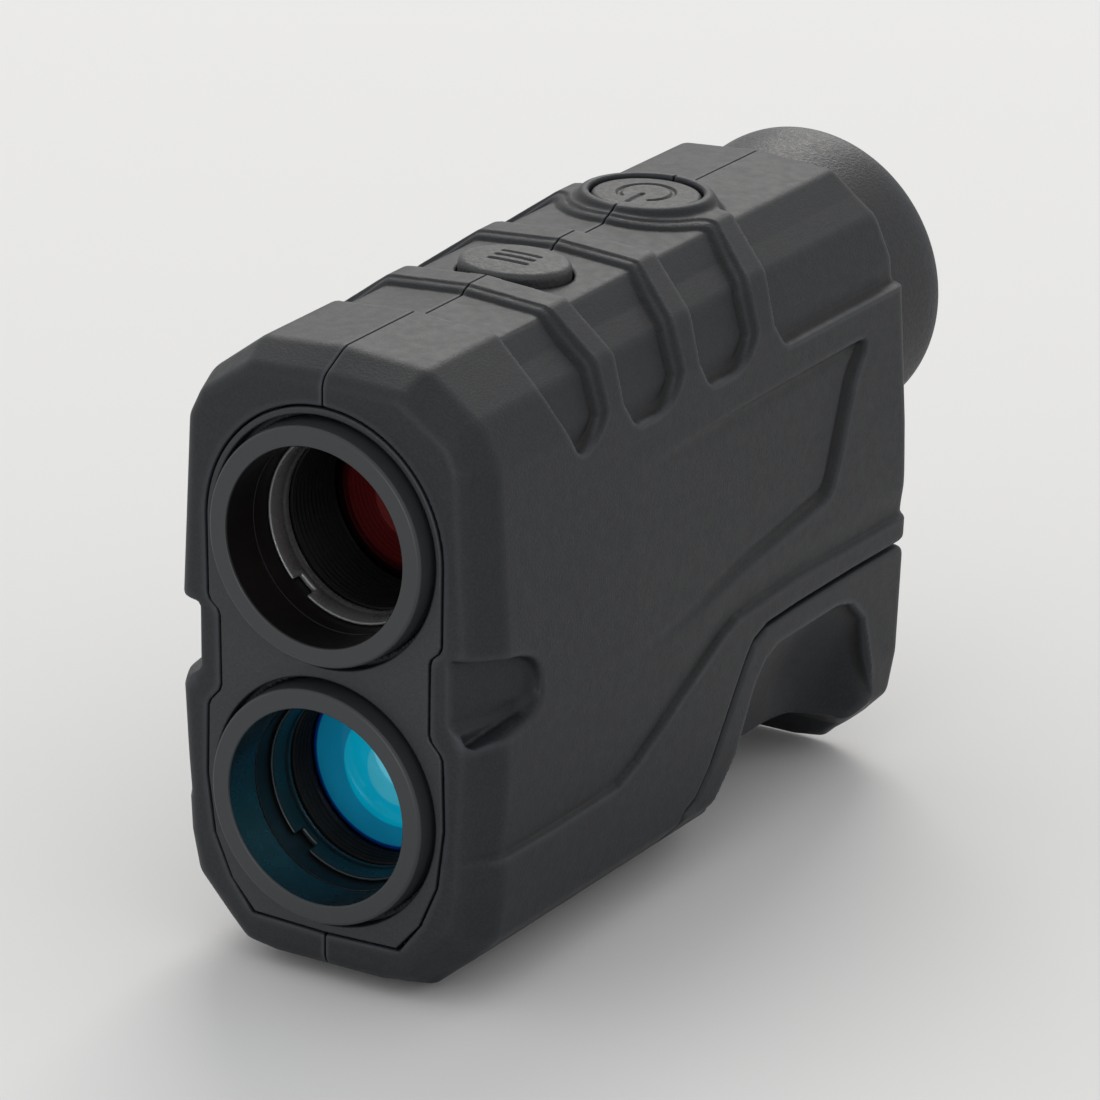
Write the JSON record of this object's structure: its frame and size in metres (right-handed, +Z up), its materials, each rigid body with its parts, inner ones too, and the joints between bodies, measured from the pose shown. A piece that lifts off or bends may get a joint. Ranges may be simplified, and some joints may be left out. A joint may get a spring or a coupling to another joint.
{
  "type": "laser rangefinder monocular",
  "caption": "Compact hand-held laser distance and speed meter with two stacked front lenses, push buttons on top, a turning eyepiece and a hinged battery door.",
  "frame": {"origin": "centre of the bounding box in plan, on the plane of the underside", "axes": "+Z up, -Y to the front lenses, +Y to the eyepiece, the two housing halves meet at X = 0"},
  "size_m": [0.0426, 0.1089, 0.0756],
  "materials": {
    "armour": "soft-touch matte black",
    "plate": "satin dark grey",
    "ring": "satin dark grey",
    "inner_black": "matte black",
    "gloss_black": "gloss black",
    "red_glass": "red anti-reflection coating",
    "blue_glass": "blue-green coating",
    "clear_glass": "clear",
    "display": "grey-green liquid crystal",
    "board": "green solder mask",
    "metal": "nickel plated",
    "switch": "moulded",
    "button_rubber": "fine grained",
    "eyecup_rubber": "fine grained",
    "seal_rubber": "smooth",
    "cell_can": "satin sleeve"
  },
  "bodies": {
    "housing": {"housing_right": "armour", "housing_left": "armour", "front_plate": "plate", "upper_hood_ring": "ring", "lower_hood_ring": "ring", "upper_lens_barrel": "inner_black", "lower_lens_barrel": "inner_black", "upper_retaining_ring": "gloss_black", "lower_retaining_ring": "gloss_black", "upper_baffle_tube": "inner_black", "lower_baffle_tube": "inner_black", "objective_front_lens": "red_glass", "objective_rear_lens": "clear_glass", "objective_spacer": "inner_black", "receiver_lens": "blue_glass", "receiver_rear_spacer": "inner_black", "prism_holder": "inner_black", "half_penta_prism": "clear_glass", "roof_prism": "clear_glass", "display_frame": "inner_black", "display_glass": "display", "main_board": "board", "detector_board": "board", "laser_board": "board", "photodiode": "metal", "laser_diode": "metal", "power_switch_body": "switch", "mode_switch_body": "switch", "eyepiece_tube": "inner_black", "eyepiece_seal": "seal_rubber", "battery_holder": "inner_black", "battery": "cell_can", "positive_contact": "metal", "negative_spring": "metal", "door_hinge_pin": "metal"},
    "power_button": {"power_button": "button_rubber"},
    "mode_button": {"mode_button": "button_rubber"},
    "power_switch_plunger": {"power_switch_plunger": "switch"},
    "mode_switch_plunger": {"mode_switch_plunger": "switch"},
    "diopter": {"diopter_ring": "inner_black", "eyecup": "eyecup_rubber"},
    "eyepiece_cell": {"eyepiece_cell": "inner_black", "eye_lens": "clear_glass", "field_lens": "clear_glass"},
    "battery_door": {"battery_door": "armour"}
  },
  "joints": [
    {"name": "power_press", "type": "slide", "parent": "housing", "child": "power_button", "axis": [0, 0, -1], "range_m": [0, 0.00055], "stiffness_N_per_m": 400, "springref_m": -0.0005},
    {"name": "mode_press", "type": "slide", "parent": "housing", "child": "mode_button", "axis": [0, 0, -1], "range_m": [0, 0.00055], "stiffness_N_per_m": 400, "springref_m": -0.0005},
    {"name": "power_switch_travel", "type": "slide", "parent": "housing", "child": "power_switch_plunger", "axis": [0, 0, -1], "range_m": [0, 0.00055]},
    {"name": "mode_switch_travel", "type": "slide", "parent": "housing", "child": "mode_switch_plunger", "axis": [0, 0, -1], "range_m": [0, 0.00055]},
    {"name": "diopter_turn", "type": "hinge", "parent": "housing", "child": "diopter", "pos_m": [0, 0.0444, 0.0548], "axis": [0, 1, 0], "range_deg": [-60, 60]},
    {"name": "eyepiece_travel", "type": "slide", "parent": "diopter", "child": "eyepiece_cell", "axis": [0, 1, 0], "range_m": [-0.001, 0.001]},
    {"name": "battery_door_hinge", "type": "hinge", "parent": "housing", "child": "battery_door", "pos_m": [0, 0.0404, 0.0256], "axis": [1, 0, 0], "range_deg": [0, 80]}
  ],
  "couplings": [
    {"joint": "power_switch_travel", "follows": "power_press", "ratio": 1},
    {"joint": "mode_switch_travel", "follows": "mode_press", "ratio": 1},
    {"joint": "eyepiece_travel", "follows": "diopter_turn", "m_per_rad": 0.0009548}
  ]
}
